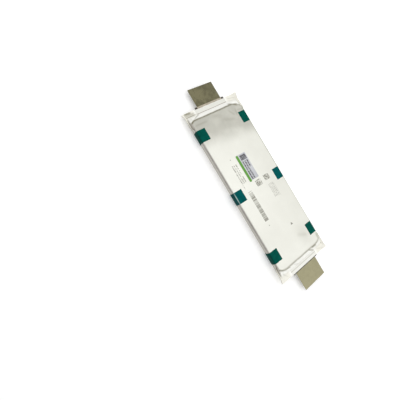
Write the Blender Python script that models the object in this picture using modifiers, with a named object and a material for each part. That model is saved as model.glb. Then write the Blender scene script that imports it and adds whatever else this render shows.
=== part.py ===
"""Pouch battery cell: a stacked lithium cell in an aluminium-laminate pouch, with one lead at each end.

The cell lies on its rear face. +X points to the positive lead, +Y across the width, +Z out of the
front face, and the origin is under the middle of the rear face. Everything is in metres.
"""

import math

import bmesh
import bpy
from mathutils import Vector

# Pouch, outside sizes
CUP_LENGTH = 0.264  # the full-thickness part, along X
SLOPE_LENGTH = 0.010  # from the cup's shoulder to the seal's inner crease
SEAL_WIDTH = 0.008  # flat seal band at each end
BODY_WIDTH = 0.099
THICKNESS = 0.014
LAMINATE = 0.00015
CORNER_RADIUS = 0.0016  # of the cup's long edges
FACE_CROWN = 0.0006  # how far each face falls from its flat middle to the long edges
FLAT_HALF_WIDTH = 0.020  # half of the flat middle of each face
FACE_END_DROP = 0.0002  # how far each face falls towards the shoulders
FLAT_END_MARGIN = 0.006  # from the flat middle to the shoulder
WING_MARGIN = 0.0010  # from the folded side wing's tip to the start of the corner radius

# Leads
LEAD_WIDTH = 0.0475
LEAD_REACH = 0.0323  # from the seal's edge to the lead's tip
LEAD_SIDE_SHIFT = 0.001  # both leads sit this far to +Y of the middle
LEAD_CORNER = 0.0006
POSITIVE_LEAD_THICKNESS = 0.0004
NEGATIVE_LEAD_THICKNESS = 0.0003
LEAD_INNER_REACH = 0.0088  # from the crease inwards, to where the foils are welded on
BEND_MARGIN = 0.0006  # from the longer film's outer end to the bend axis
BEND_GAP = 0.0004  # between the root, the bend axis and the blade, so it is under BEND_MARGIN

# Sealing films on the leads
FILM_SIDE_OVERHANG = 0.00515  # past the lead, each side
FILM_THICKNESS = 0.0001
NEGATIVE_FILM_PROTRUSION = 0.0024  # past the seal's outer edge
POSITIVE_FILM_PROTRUSION = 0.0014
FILM_INNER_PROTRUSION = 0.0010  # past the crease, inwards
FILM_RAMP = 0.0012  # width of the laminate's ramp beside the films

# Side tapes and label
TAPE_LENGTH = 0.0195
TAPE_REACH = 0.015  # over each face, measured from the side
TAPE_THICKNESS = 0.0001
TAPE_CENTRES = {"negative_end": -0.1070, "middle": 0.0011, "positive_end": 0.1067}
LABEL_LENGTH = 0.0463
LABEL_WIDTH = 0.0196
LABEL_THICKNESS = 0.0001
LABEL_CENTRE = (-0.0325, -0.0040)
LABEL_CORNER = 0.0006

# Electrode stack
ANODE_COUNT = 13
ANODE_END_MARGIN = 0.0060  # from the shoulder to the anode's end
ANODE_SIDE_MARGIN = 0.0035  # from the pouch's side to the anode's side
CATHODE_INSET = 0.0010  # how much smaller the cathode is, all round
SEPARATOR_END_OVERHANG = 0.0008  # past the anode, at each end
SEPARATOR_SIDE_OVERHANG = 0.0006  # from the anode's side to the fold
SEPARATOR_THICKNESS = 0.00005
PLATE_CLEARANCE = 0.00006  # between a plate and the separator
FOIL_THICKNESS = 0.00005
FOIL_PITCH = 0.00011  # between the foils where they are welded to the lead
FOIL_INSET = 0.0010  # the foil tabs are this much narrower than the lead, each side
FOIL_STRAIGHT = 0.0012  # a foil leaves the stack straight for this length
FOIL_LANDING = 0.0005  # from the end of a foil's slope to the lead's inner end
WELD_LENGTH = 0.0045
STACK_TAPE_LENGTH = 0.020
STACK_TAPE_REACH = 0.010
STACK_TAPE_THICKNESS = 0.00008
STACK_TAPE_CENTRES = {"negative_end": -0.075, "positive_end": 0.075}
WELD_TAPE_THICKNESS = 0.00008
WELD_TAPE_OVERHANG = 0.0015  # past the foils, each side

# Clearances
SKIN_GAP = 0.0002  # between the laminate and what lies on it
SEAL_GAP = 0.0002  # between the two shells in the seal
THIN_GAP = 0.0001  # between the thin layers inside and in the lead's seal

# The slope from the shoulder to the crease: how far along, and the share of the cup's height left.
# A steep shoulder comes first, then a bulge over the gathered foils, then the fall to the seal.
END_SLOPE = ((0.0, 1.0), (0.10, 0.76), (0.35, 0.62), (0.62, 0.44), (0.86, 0.17), (1.0, 0.0))
CUP_STEPS = 4  # cross-sections from the middle of the cup to the end of its flat middle
CORNER_STEPS = 4  # faces round a long edge
SHOULDER_OPENING = 0.15  # how far the side wing has opened at the shoulder
CREASE_OPENING = 0.85  # and at the crease

# Worked out from the sizes above
MIDDLE_Z = THICKNESS / 2
HALF_CUP = CUP_LENGTH / 2
CREASE_X = HALF_CUP + SLOPE_LENGTH
EDGE_X = CREASE_X + SEAL_WIDTH
TIP_X = EDGE_X + LEAD_REACH
BEND_X = EDGE_X + max(NEGATIVE_FILM_PROTRUSION, POSITIVE_FILM_PROTRUSION) + BEND_MARGIN
HALF_WIDTH = BODY_WIDTH / 2
WALL_Y = HALF_WIDTH - LAMINATE  # the side wall's inner face
SEAL_LIFT = SEAL_GAP / 2
FRONT_WING_Y = HALF_WIDTH + SKIN_GAP + LAMINATE
REAR_WING_Y = FRONT_WING_Y + SEAL_GAP
SIDE_Y = REAR_WING_Y + LAMINATE  # the outer face of the folded wings
WING_WIDTH = MIDDLE_Z - FACE_CROWN - CORNER_RADIUS - WING_MARGIN
THICKEST_LEAD = max(POSITIVE_LEAD_THICKNESS, NEGATIVE_LEAD_THICKNESS)
FILM_WIDTH = LEAD_WIDTH + 2 * FILM_SIDE_OVERHANG
FILM_LIFT = THICKEST_LEAD / 2 + FILM_THICKNESS + 2 * THIN_GAP
LEAD_INNER_X = CREASE_X - LEAD_INNER_REACH
ANODE_HALF_LENGTH = HALF_CUP - ANODE_END_MARGIN
ANODE_HALF_WIDTH = HALF_WIDTH - ANODE_SIDE_MARGIN
FOLD_Y = ANODE_HALF_WIDTH + SEPARATOR_SIDE_OVERHANG + SEPARATOR_THICKNESS / 2
STACK_HALF_HEIGHT = (
    MIDDLE_Z - LAMINATE - FACE_CROWN - FACE_END_DROP - SKIN_GAP - STACK_TAPE_THICKNESS - THIN_GAP
)
PLATE_COUNT = 2 * ANODE_COUNT - 1
LAYER_PITCH = (2 * STACK_HALF_HEIGHT - SEPARATOR_THICKNESS) / PLATE_COUNT
PLATE_THICKNESS = LAYER_PITCH - SEPARATOR_THICKNESS - 2 * PLATE_CLEARANCE
QUARTER_TURN = math.radians(90.0)

COLOURS = {
    "laminate": ((0.80, 0.80, 0.77, 1.0), 0.38, 0.85),
    "copper_lead": ((0.30, 0.28, 0.21, 1.0), 0.42, 0.90),
    "aluminium_lead": ((0.62, 0.58, 0.42, 1.0), 0.45, 0.90),
    "sealing_film": ((0.12, 0.08, 0.05, 1.0), 0.50, 0.0),
    "green_tape": ((0.01, 0.14, 0.13, 1.0), 0.45, 0.0),
    "label_paper": ((0.92, 0.93, 0.91, 1.0), 0.60, 0.0),
    "anode": ((0.05, 0.05, 0.06, 1.0), 0.80, 0.0),
    "cathode": ((0.09, 0.08, 0.08, 1.0), 0.75, 0.0),
    "separator": ((0.93, 0.93, 0.93, 1.0), 0.70, 0.0),
    "inner_tape": ((0.75, 0.60, 0.25, 1.0), 0.40, 0.0),
}


def clear_scene():
    """Removes every object of the open scene."""
    for obj in list(bpy.data.objects):
        bpy.data.objects.remove(obj)


def material(name):
    """The named material, made the first time that it is asked for."""
    found = bpy.data.materials.get(name)
    if found:
        return found
    colour, roughness, metallic = COLOURS[name]
    made = bpy.data.materials.new(name)
    made.use_nodes = True
    made.diffuse_color = colour
    shader = made.node_tree.nodes["Principled BSDF"]
    shader.inputs["Base Color"].default_value = colour
    shader.inputs["Roughness"].default_value = roughness
    shader.inputs["Metallic"].default_value = metallic
    return made


def add_object(name, bm, finish, collection, parent=None):
    """Links a bmesh as the named part with its material. The bmesh is in the parent's frame."""
    mesh = bpy.data.meshes.new(name)
    bm.to_mesh(mesh)
    bm.free()
    mesh.materials.append(material(finish))
    obj = bpy.data.objects.new(name, mesh)
    obj.parent = parent
    collection.objects.link(obj)
    return obj


def thicken(obj, thickness, side):
    """Gives an open surface a wall on the side of its normals (1), behind them (-1) or both (0)."""
    wall = obj.modifiers.new("wall", "SOLIDIFY")
    wall.thickness = thickness
    wall.offset = side
    wall.use_even_offset = True
    wall.use_rim = True


def box(low, high):
    """A box between two corners, from a cube primitive."""
    bm = bmesh.new()
    bmesh.ops.create_cube(bm, size=1.0)
    for vert in bm.verts:
        for axis in range(3):
            share = vert.co[axis] + 0.5
            vert.co[axis] = low[axis] + share * (high[axis] - low[axis])
    return bm


def round_upright_edges(bm, radius, least_x=-math.inf):
    """Rounds the box's edges that run along Z and lie beyond least_x."""
    upright = []
    for edge in bm.edges:
        first, last = (vert.co for vert in edge.verts)
        is_upright = abs(first.x - last.x) + abs(first.y - last.y) < 1e-7
        if is_upright and first.x > least_x:
            upright.append(edge)
    bmesh.ops.bevel(bm, geom=upright, offset=radius, segments=3, profile=0.5, affect="EDGES")


def surface(rows, columns, place):
    """A grid primitive whose vertex in row i, column j goes where place(i, j) says."""
    bm = bmesh.new()
    bmesh.ops.create_grid(bm, x_segments=rows - 1, y_segments=columns - 1, size=1.0)
    for vert in bm.verts:
        i = round((vert.co.x + 1.0) / 2.0 * (rows - 1))
        j = round((vert.co.y + 1.0) / 2.0 * (columns - 1))
        vert.co = place(i, j)
    return bm


def strip(path, start_x, end_x):
    """An open surface: a path of (y, z) points carried from start_x to end_x."""
    return surface(2, len(path), lambda i, j: ((start_x, end_x)[i], *path[j]))


# ---------------------------------------------------------------- pouch shells


def stations():
    """X, share of the cup's height, and how far the side wing is open, for each cross-section."""
    flat_end = HALF_CUP - FLAT_END_MARGIN
    half = [(flat_end * step / CUP_STEPS, 1.0, 0.0) for step in range(CUP_STEPS + 1)]
    for along, share in END_SLOPE:
        opening = SHOULDER_OPENING + (CREASE_OPENING - SHOULDER_OPENING) * along
        half.append((HALF_CUP + SLOPE_LENGTH * along, share, opening))
    half.append((EDGE_X, 0.0, 1.0))
    return [(-x, share, opening) for x, share, opening in reversed(half[1:])] + half


def crown(y):
    """How far a face lies below its flat middle at this distance from the centre line."""
    slope_end = WALL_Y - CORNER_RADIUS
    along = (abs(y) - FLAT_HALF_WIDTH) / (slope_end - FLAT_HALF_WIDTH)
    return FACE_CROWN * min(max(along, 0.0), 1.0)


def face_lines():
    """Y of the lines along a face: both sides of each film ramp and of the flat middle."""
    film = FILM_WIDTH / 2 + THIN_GAP
    lines = [-FLAT_HALF_WIDTH, FLAT_HALF_WIDTH]
    for side in (-1, 1):
        lines.append(LEAD_SIDE_SHIFT + side * film)
        lines.append(LEAD_SIDE_SHIFT + side * (film + FILM_RAMP))
    return sorted(lines)


def cup_height(x, y, share):
    """Height of a shell's inner face above the middle plane."""
    over_film = abs(y - LEAD_SIDE_SHIFT) <= FILM_WIDTH / 2 + 2 * THIN_GAP
    base = FILM_LIFT if over_film and abs(x) >= HALF_CUP else SEAL_LIFT
    drop = FACE_END_DROP if abs(x) >= HALF_CUP else 0.0
    full = MIDDLE_Z - LAMINATE - crown(y) - drop
    return base + (full - base) * share


def side_section(x, share, opening, wing_y, lift):
    """The section's side at +Y from the wing's tip to the face, as (y, height) of the inner face.

    Wing heights are measured towards the front, and all others away from the middle plane.
    """
    fold = QUARTER_TURN * (1.0 - opening)
    tip = (wing_y + WING_WIDTH * math.cos(fold), lift + WING_WIDTH * math.sin(fold))
    spread = 0.3 * (wing_y - WALL_Y) * (1.0 - share)
    corner = []
    for step in range(CORNER_STEPS + 1):
        angle = QUARTER_TURN * step / CORNER_STEPS
        y = WALL_Y - CORNER_RADIUS * (1.0 - math.cos(angle))
        sink = CORNER_RADIUS * share * (1.0 - math.sin(angle))
        corner.append((y, cup_height(x, WALL_Y, share) - sink))
    return tip, (wing_y, lift), (WALL_Y + spread, SEAL_LIFT), corner


def shell_section(x, share, opening, towards):
    """A whole cross-section of the front (towards = 1) or rear (-1) shell's inner face, along +Y."""
    wing_y = FRONT_WING_Y if towards > 0 else REAR_WING_Y
    tip, root, foot, corner = side_section(x, share, opening, wing_y, towards * SEAL_LIFT)
    side = [(tip[0], tip[1]), (root[0], root[1]), (foot[0], towards * foot[1])]
    side += [(y, towards * height) for y, height in corner]
    face = [(y, towards * cup_height(x, y, share)) for y in face_lines()]
    return [(-y, height) for y, height in side] + face + list(reversed(side))


def add_shell(name, towards, collection):
    """One laminate shell: end seals, cup, and side wings folded to the front along the cup."""
    columns = [
        [(x, y, MIDDLE_Z + height) for y, height in shell_section(x, share, opening, towards)]
        for x, share, opening in stations()
    ]
    bm = surface(len(columns), len(columns[0]), lambda i, j: columns[i][j])
    shell = add_object(name, bm, "laminate", collection)
    shell.data.shade_smooth()
    shell.data.set_sharp_from_angle(angle=0.6)
    thicken(shell, LAMINATE, towards)


# ---------------------------------------------------------------- leads and films


def add_lead(name, end, thickness, finish, collection):
    """One lead: the root sealed in the pouch, and the blade, which bends about its parent empty.

    end is 1 at the positive end and -1 at the negative one.
    """
    half = LEAD_WIDTH / 2
    low_y, high_y = LEAD_SIDE_SHIFT - half, LEAD_SIDE_SHIFT + half
    root_ends = sorted((end * LEAD_INNER_X, end * (BEND_X - BEND_GAP)))
    root = box(
        (root_ends[0], low_y, MIDDLE_Z - thickness / 2),
        (root_ends[1], high_y, MIDDLE_Z + thickness / 2),
    )
    add_object(f"{name}_tab_root", root, finish, collection)

    bend = bpy.data.objects.new(f"{name}_tab_bend_axis", None)
    bend.location = (end * BEND_X, 0.0, MIDDLE_Z)
    bend.empty_display_size = half
    collection.objects.link(bend)
    blade = box((BEND_GAP, low_y, -thickness / 2), (TIP_X - BEND_X, high_y, thickness / 2))
    round_upright_edges(blade, LEAD_CORNER, least_x=BEND_GAP * 2)
    if end < 0:
        for vert in blade.verts:
            vert.co.x = -vert.co.x
        bmesh.ops.reverse_faces(blade, faces=blade.faces)
    add_object(f"{name}_tab_blade", blade, finish, collection, parent=bend)


def add_films(name, end, thickness, collection):
    """The two sealing films of one lead, in front of it and behind it."""
    half = FILM_WIDTH / 2
    protrusion = POSITIVE_FILM_PROTRUSION if end > 0 else NEGATIVE_FILM_PROTRUSION
    ends = sorted((end * (CREASE_X - FILM_INNER_PROTRUSION), end * (EDGE_X + protrusion)))
    for side, where in ((1, "front"), (-1, "rear")):
        near = MIDDLE_Z + side * (thickness / 2 + THIN_GAP)
        levels = sorted((near, near + side * FILM_THICKNESS))
        film = box(
            (ends[0], LEAD_SIDE_SHIFT - half, levels[0]),
            (ends[1], LEAD_SIDE_SHIFT + half, levels[1]),
        )
        add_object(f"{name}_tab_film_{where}", film, "sealing_film", collection)


# ---------------------------------------------------------------- tapes and label


def side_tape_path(side):
    """(y, z) of a side tape's inner face, from the front face round the folded wings to the rear."""
    arc_y = HALF_WIDTH - CORNER_RADIUS
    arc_z = MIDDLE_Z - FACE_CROWN - CORNER_RADIUS
    radius = CORNER_RADIUS + SKIN_GAP
    reach_y = HALF_WIDTH - TAPE_REACH
    path = [(reach_y, MIDDLE_Z - crown(reach_y) + SKIN_GAP)]
    for step in range(CORNER_STEPS + 1):
        angle = QUARTER_TURN * step / CORNER_STEPS
        path.append((arc_y + radius * math.sin(angle), arc_z + radius * math.cos(angle)))
    rear = [(y, -z) for y, z in reversed(path)]
    path.append((SIDE_Y + SKIN_GAP, SEAL_LIFT + WING_WIDTH + SKIN_GAP))
    path.append((SIDE_Y + SKIN_GAP, -SEAL_LIFT - LAMINATE - SKIN_GAP))
    return [(side * y, MIDDLE_Z + z) for y, z in path + rear]


def add_side_tapes(collection):
    """Three tapes on each long side, which hold the folded wings to the cup."""
    for side, edge in ((-1, "near"), (1, "far")):
        path = side_tape_path(side)
        for where, centre in TAPE_CENTRES.items():
            bm = strip(path, centre - TAPE_LENGTH / 2, centre + TAPE_LENGTH / 2)
            tape = add_object(f"side_tape_{edge}_{where}", bm, "green_tape", collection)
            tape.data.shade_smooth()
            tape.data.set_sharp_from_angle(angle=0.6)
            thicken(tape, TAPE_THICKNESS, side)


def add_label(collection):
    """The label sticker on the flat middle of the front face."""
    low_z = THICKNESS + THIN_GAP
    label = box(
        (LABEL_CENTRE[0] - LABEL_LENGTH / 2, LABEL_CENTRE[1] - LABEL_WIDTH / 2, low_z),
        (LABEL_CENTRE[0] + LABEL_LENGTH / 2, LABEL_CENTRE[1] + LABEL_WIDTH / 2, low_z + LABEL_THICKNESS),
    )
    round_upright_edges(label, LABEL_CORNER)
    add_object("label_sticker", label, "label_paper", collection)


# ---------------------------------------------------------------- electrode stack


def layer_z(index):
    """Z of the middle of a separator layer, counted from the rear."""
    return MIDDLE_Z - STACK_HALF_HEIGHT + SEPARATOR_THICKNESS / 2 + index * LAYER_PITCH


def foil_z(order, lead_thickness):
    """Z of the middle of a foil where it is welded on the front of the lead."""
    first = MIDDLE_Z + lead_thickness / 2 + THIN_GAP + FOIL_THICKNESS / 2
    return first + order * FOIL_PITCH


def add_plate(name, plate_index, order, end, finish, inset, lead_thickness, collection):
    """A coated plate with its bare foil tab drawn out of one end and brought to the weld.

    The plate starts as a box with its foil end at +X. Four cuts part the foil's section off that
    end, which is then drawn along the foil's path.
    """
    middle_z = (layer_z(plate_index) + layer_z(plate_index + 1)) / 2
    half_length = ANODE_HALF_LENGTH - inset
    half_width = ANODE_HALF_WIDTH - inset
    low = (-half_length, -half_width, middle_z - PLATE_THICKNESS / 2)
    high = (half_length, half_width, middle_z + PLATE_THICKNESS / 2)
    bm = box(low, high)
    foil_half = LEAD_WIDTH / 2 - FOIL_INSET
    for side in (-1, 1):
        y = LEAD_SIDE_SHIFT + side * foil_half
        z = middle_z + side * FOIL_THICKNESS / 2
        for point, normal in (((0, y, 0), (0, 1, 0)), ((0, 0, z), (0, 0, 1))):
            everything = bm.verts[:] + bm.edges[:] + bm.faces[:]
            bmesh.ops.bisect_plane(bm, geom=everything, plane_co=point, plane_no=normal)
    foil_centre = Vector((half_length, LEAD_SIDE_SHIFT, middle_z))
    bm.normal_update()
    cap = min(
        (face for face in bm.faces if face.normal.x > 0.5),
        key=lambda face: (face.calc_center_median() - foil_centre).length,
    )
    slope_start = ANODE_HALF_LENGTH + SEPARATOR_END_OVERHANG + FOIL_STRAIGHT
    slope_end = LEAD_INNER_X - FOIL_LANDING
    weld_z = foil_z(order, lead_thickness)
    path = (
        (slope_start, middle_z),
        (slope_end, weld_z),
        (LEAD_INNER_X + FOIL_LANDING + WELD_LENGTH, weld_z),
    )
    at_x, at_z = half_length, middle_z
    for x, z in path:
        cap = bmesh.ops.extrude_discrete_faces(bm, faces=[cap])["faces"][0]
        bmesh.ops.translate(bm, verts=cap.verts, vec=(x - at_x, 0.0, z - at_z))
        at_x, at_z = x, z
    if end < 0:
        for vert in bm.verts:
            vert.co.x = -vert.co.x
        bmesh.ops.reverse_faces(bm, faces=bm.faces)
    add_object(name, bm, finish, collection)


def add_plates(collection):
    """Anodes and cathodes by turns, from an anode at the rear to an anode at the front."""
    for index in range(PLATE_COUNT):
        order = index // 2
        if index % 2 == 0:
            name, end, inset, thickness = "anode", -1, 0.0, NEGATIVE_LEAD_THICKNESS
        else:
            name, end, inset, thickness = "cathode", 1, CATHODE_INSET, POSITIVE_LEAD_THICKNESS
        full_name = f"{name}_plate_{order + 1:02d}"
        add_plate(full_name, index, order, end, name, inset, thickness, collection)


def add_separator(collection):
    """One web, folded to and fro round the plates' long sides."""
    path = []
    for layer in range(PLATE_COUNT + 1):
        start_side = -1 if layer % 2 == 0 else 1
        path.append((start_side * FOLD_Y, layer_z(layer)))
        path.append((-start_side * FOLD_Y, layer_z(layer)))
    half_length = ANODE_HALF_LENGTH + SEPARATOR_END_OVERHANG
    web = add_object("separator_web", strip(path, -half_length, half_length), "separator", collection)
    thicken(web, SEPARATOR_THICKNESS, 0)


def add_stack_tapes(collection):
    """Tapes that hold the stack together at its long sides, over both of its faces."""
    level = STACK_HALF_HEIGHT + THIN_GAP
    side_y = FOLD_Y + SEPARATOR_THICKNESS / 2 + THIN_GAP
    reach_y = side_y - STACK_TAPE_REACH
    for side, edge in ((-1, "near"), (1, "far")):
        path = [(reach_y, level), (side_y, level), (side_y, -level), (reach_y, -level)]
        path = [(side * y, MIDDLE_Z + z) for y, z in path]
        for where, centre in STACK_TAPE_CENTRES.items():
            bm = strip(path, centre - STACK_TAPE_LENGTH / 2, centre + STACK_TAPE_LENGTH / 2)
            tape = add_object(f"stack_tape_{edge}_{where}", bm, "inner_tape", collection)
            thicken(tape, STACK_TAPE_THICKNESS, side)


def add_weld_tapes(name, end, count, lead_thickness, collection):
    """The two tapes over one weld: on the gathered foils, and behind the lead."""
    start_x = LEAD_INNER_X
    end_x = LEAD_INNER_X + WELD_LENGTH + FOIL_LANDING
    ends = sorted((end * start_x, end * end_x))
    half = LEAD_WIDTH / 2 - FOIL_INSET + WELD_TAPE_OVERHANG
    front = foil_z(count - 1, lead_thickness) + FOIL_THICKNESS / 2 + THIN_GAP
    rear = MIDDLE_Z - lead_thickness / 2 - THIN_GAP - WELD_TAPE_THICKNESS
    for low_z, where in ((front, "front"), (rear, "rear")):
        tape = box(
            (ends[0], LEAD_SIDE_SHIFT - half, low_z),
            (ends[1], LEAD_SIDE_SHIFT + half, low_z + WELD_TAPE_THICKNESS),
        )
        add_object(f"{name}_weld_tape_{where}", tape, "inner_tape", collection)


def build():
    """Builds the whole cell in its own collection."""
    clear_scene()
    cell = bpy.data.collections.new("pouch_battery_cell")
    bpy.context.scene.collection.children.link(cell)
    add_shell("pouch_front_shell", 1, cell)
    add_shell("pouch_rear_shell", -1, cell)
    ends = (
        ("negative", -1, NEGATIVE_LEAD_THICKNESS, "copper_lead", ANODE_COUNT),
        ("positive", 1, POSITIVE_LEAD_THICKNESS, "aluminium_lead", ANODE_COUNT - 1),
    )
    for name, end, thickness, finish, count in ends:
        add_lead(name, end, thickness, finish, cell)
        add_films(name, end, thickness, cell)
        add_weld_tapes(name, end, count, thickness, cell)
    add_side_tapes(cell)
    add_label(cell)
    add_plates(cell)
    add_separator(cell)
    add_stack_tapes(cell)


build()
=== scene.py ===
"""Looks of a pouch battery cell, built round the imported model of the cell.

The cell lies on its rear face: +X points to the positive lead, +Y across the width and +Z out of the
labelled front face. Everything is in metres. Sheet surfaces are worked out as whole numpy grids.
"""

import math

import bpy
import numpy as np
from bpy.props import FloatProperty, FloatVectorProperty, IntProperty, PointerProperty
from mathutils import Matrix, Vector


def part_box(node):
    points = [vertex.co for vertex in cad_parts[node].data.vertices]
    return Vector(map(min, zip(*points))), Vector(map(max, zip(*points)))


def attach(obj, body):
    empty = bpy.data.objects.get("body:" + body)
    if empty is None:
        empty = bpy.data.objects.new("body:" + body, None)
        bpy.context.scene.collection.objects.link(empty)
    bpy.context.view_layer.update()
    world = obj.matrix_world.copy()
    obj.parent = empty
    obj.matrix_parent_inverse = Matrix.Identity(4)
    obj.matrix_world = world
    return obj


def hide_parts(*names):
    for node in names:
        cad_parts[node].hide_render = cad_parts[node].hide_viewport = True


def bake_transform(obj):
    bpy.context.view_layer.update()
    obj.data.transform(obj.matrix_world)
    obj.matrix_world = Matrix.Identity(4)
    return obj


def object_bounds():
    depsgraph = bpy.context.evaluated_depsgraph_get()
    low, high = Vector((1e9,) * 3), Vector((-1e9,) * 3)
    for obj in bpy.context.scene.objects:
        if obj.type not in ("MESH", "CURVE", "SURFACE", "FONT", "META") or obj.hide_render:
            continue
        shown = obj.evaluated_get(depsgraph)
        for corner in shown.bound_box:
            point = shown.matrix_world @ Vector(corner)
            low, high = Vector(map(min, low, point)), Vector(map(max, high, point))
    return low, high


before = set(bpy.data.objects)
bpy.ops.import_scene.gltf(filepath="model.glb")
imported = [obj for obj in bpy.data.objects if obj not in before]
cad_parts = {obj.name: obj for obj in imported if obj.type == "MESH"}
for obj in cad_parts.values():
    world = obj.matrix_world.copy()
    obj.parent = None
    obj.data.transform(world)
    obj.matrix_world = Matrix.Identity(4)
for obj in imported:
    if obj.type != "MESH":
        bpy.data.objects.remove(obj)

bl_info = {
    "name": "Pouch cell maker",
    "version": (1, 0, 0),
    "blender": (4, 5, 0),
    "location": "3D View > Sidebar > Pouch cell",
    "description": "Builds the laminate pouch, leads, tapes and label of a pouch battery cell",
    "category": "Add Mesh",
}

CAD_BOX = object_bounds()
CELL_BODY = "cell"
MM = 0.001
QUARTER_TURN = math.radians(90.0)


# ------------------------------------------------------------------ settings


def length(name, description, default):
    """A length property in metres."""
    return FloatProperty(name=name, description=description, default=default, unit="LENGTH", precision=5)


def colour(name, description, red, green, blue):
    """A colour property whose default is given in display values from 0 to 255."""
    linear = [((v / 255 + 0.055) / 1.055) ** 2.4 if v > 10 else v / 255 / 12.92 for v in (red, green, blue)]
    return FloatVectorProperty(
        name=name, description=description, subtype="COLOR", size=3, min=0.0, max=1.0, default=linear
    )


class PouchSettings(bpy.types.PropertyGroup):
    """Sizes and colours of the laminate pouch."""

    shoulder: length("Shoulder", "From the middle to where the cup's end slope starts", 0.132)
    crease: length("Crease", "From the middle to the seal's inner edge", 0.142)
    half_width: length("Half width", "Half of the cup's width", 0.0495)
    corner_radius: length("Edge radius", "Radius of the cup's long edges", 0.0017)
    near_negative: length("Near negative corner", "Radius of this corner seen from above", 0.0040)
    far_negative: length("Far negative corner", "Radius of this corner seen from above", 0.0090)
    near_positive: length("Near positive corner", "Radius of this corner seen from above", 0.0065)
    far_positive: length("Far positive corner", "Radius of this corner seen from above", 0.0070)
    crown: length("Crown", "How far a face falls to its long edges", 0.0006)
    draw_in: length("Draw-in", "How far the seal's edge is drawn in over the negative lead", 0.0008)
    wing: length("Wing width", "Width of the folded side seal", 0.0038)
    wing_gap: length("Wing gap", "Gap between the wall and the folded side seal", 0.0002)
    film_rise: length("Film rise", "How far the seal is lifted over the leads' films", 0.0004)
    laminate: length("Laminate", "Thickness of the laminate", 0.00015)
    seal_gap: length("Seal gap", "Half of the gap between the shells in the seal", 0.0001)
    dent: length("Dents", "Height of the soft dents in the faces", 0.00016)
    crumple: length("Crumple", "Height of the wrinkles on the end slopes", 0.00045)
    silver: colour("Silver", "Colour of the clean laminate", 246, 246, 237)
    # Painted reflection and shade: this grey paints clouds on the faces in place of the room reflected in
    # the satin laminate. It also dulls the seal bands, partly their own knurled tone and partly painted
    # shade.
    cloud_shade_and_seal_grey: colour("Clouds", "Colour of the duller clouds on the laminate", 201, 200, 189)
    # Painted shade: the darkest reflection clouds at the negative end.
    darkest_cloud_shade: colour("Dull patches", "Colour of the darkest clouds at the negative end", 166, 165, 155)
    ear: colour("Ears", "Colour of the seal beside the leads and of the open wings", 240, 238, 227)
    # Painted light: the end slopes and seals are painted brighter than the faces, in place of the light
    # falling on them.
    bright: colour("Bright slopes", "Colour of the end slopes and seals", 255, 255, 249)
    # Painted shade: the olive colour deep in the grooves and folds.
    groove: colour("Grooves", "Colour deep in the grooves and folds", 124, 120, 95)
    # Painted shade: the dark line in the seal's inner crease.
    painted_crease_shade: colour("Crease", "Colour of the seal's inner crease", 128, 112, 90)
    # Painted shade: a darker line along the far long edge and at its corner.
    painted_far_edge_shade: colour("Far edge", "Colour of the far long edge", 166, 169, 148)
    # Painted shade: the side walls are painted darker than the faces, partly their pinkish tone. The wings'
    # tips take the same colour as a shaded outline.
    wall: colour("Side walls", "Colour of the drawn side walls", 194, 190, 182)
    ink: colour("Ink", "Colour of the printed marks", 120, 118, 104)


class LeadSettings(bpy.types.PropertyGroup):
    """Finish of the two leads and their sealing films."""

    ripple: length("Ripple", "Height of the gentle waves in the leads", 0.00012)
    bend_half_length: length("Bend length", "Half of the length over which a lead bends", 0.0006)
    corner: length("Corner", "Radius of the lead's corners", 0.0006)
    nickel: colour("Nickel plating", "Colour of the negative lead", 110, 106, 80)
    aluminium: colour("Aluminium", "Colour of the positive lead", 154, 149, 119)
    film_dark: colour("Dark film", "Colour of the positive lead's sealing film", 44, 34, 24)
    film_light: colour("Light film", "Colour of the negative lead's sealing film", 192, 182, 162)
    nub: colour("Nubs", "Colour of the films' melted ends", 78, 72, 66)
    film: length("Film thickness", "Thickness of a sealing film", 0.0001)


class TapeSettings(bpy.types.PropertyGroup):
    """Finish of the side tapes."""

    lift: length("Lift", "Gap between a tape and what it lies on", 0.00005)
    thickness: length("Thickness", "Thickness of a tape", 0.00008)
    ragged: length("Edge", "How far a tape's cut ends wander", 0.00012)
    teal: colour("Teal", "Colour of the middle tapes", 1, 91, 91)
    teal_ends: colour("Teal at the ends", "Colour of the four end tapes", 1, 87, 76)
    # Painted shade: the tapes are painted darker where they go down the side.
    side: colour("Tape side", "Colour of the tapes' shaded sides", 22, 46, 46)
    # Painted highlight: a pale line painted along the middle near tape's fold.
    painted_fold_highlight: colour("Scuff", "Colour of the pale scuff on a fold", 196, 220, 216)
    rows: IntProperty(name="Rows", description="Grid rows along a tape", default=40, min=8, max=200)


class LabelSettings(bpy.types.PropertyGroup):
    """Finish of the label sticker."""

    corner: length("Corner", "Radius of the sticker's corners", 0.0010)
    thickness: length("Thickness", "Thickness of the sticker", 0.00009)
    lift: length("Lift", "Gap under the sticker", 0.00003)
    stripe: length("Stripe", "Width of the green stripe", 0.0044)
    stripe_corner: length("Stripe corner", "Radius of the stripe's corners", 0.0019)
    stripe_gap: length("Stripe gap", "Gap under the stripe", 0.00002)
    overlap: length("Overlap", "How far the sticker reaches under the stripe", 0.0004)
    overhang: length("Overhang", "How much longer the stripe is than the sticker", 0.0012)
    paper: colour("Paper", "Colour of the sticker", 204, 206, 210)
    green: colour("Green", "Colour of the stripe", 88, 149, 44)
    print_ink: colour("Print", "Colour of the sticker's print", 52, 48, 54)


class StageSettings(bpy.types.PropertyGroup):
    """Camera, floor and lights."""

    lens: FloatProperty(name="Lens", description="Focal length in millimetres", default=24.3)
    floor_gap: length("Floor gap", "How far the floor lies below the cell", 0.0004)
    glow: FloatProperty(name="Floor glow", description="How strongly the floor shines", default=0.20)
    sky: FloatProperty(name="Sky", description="Strength of the white light all round", default=0.52)
    floor: colour("Floor", "Colour of the floor", 250, 250, 250)


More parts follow.
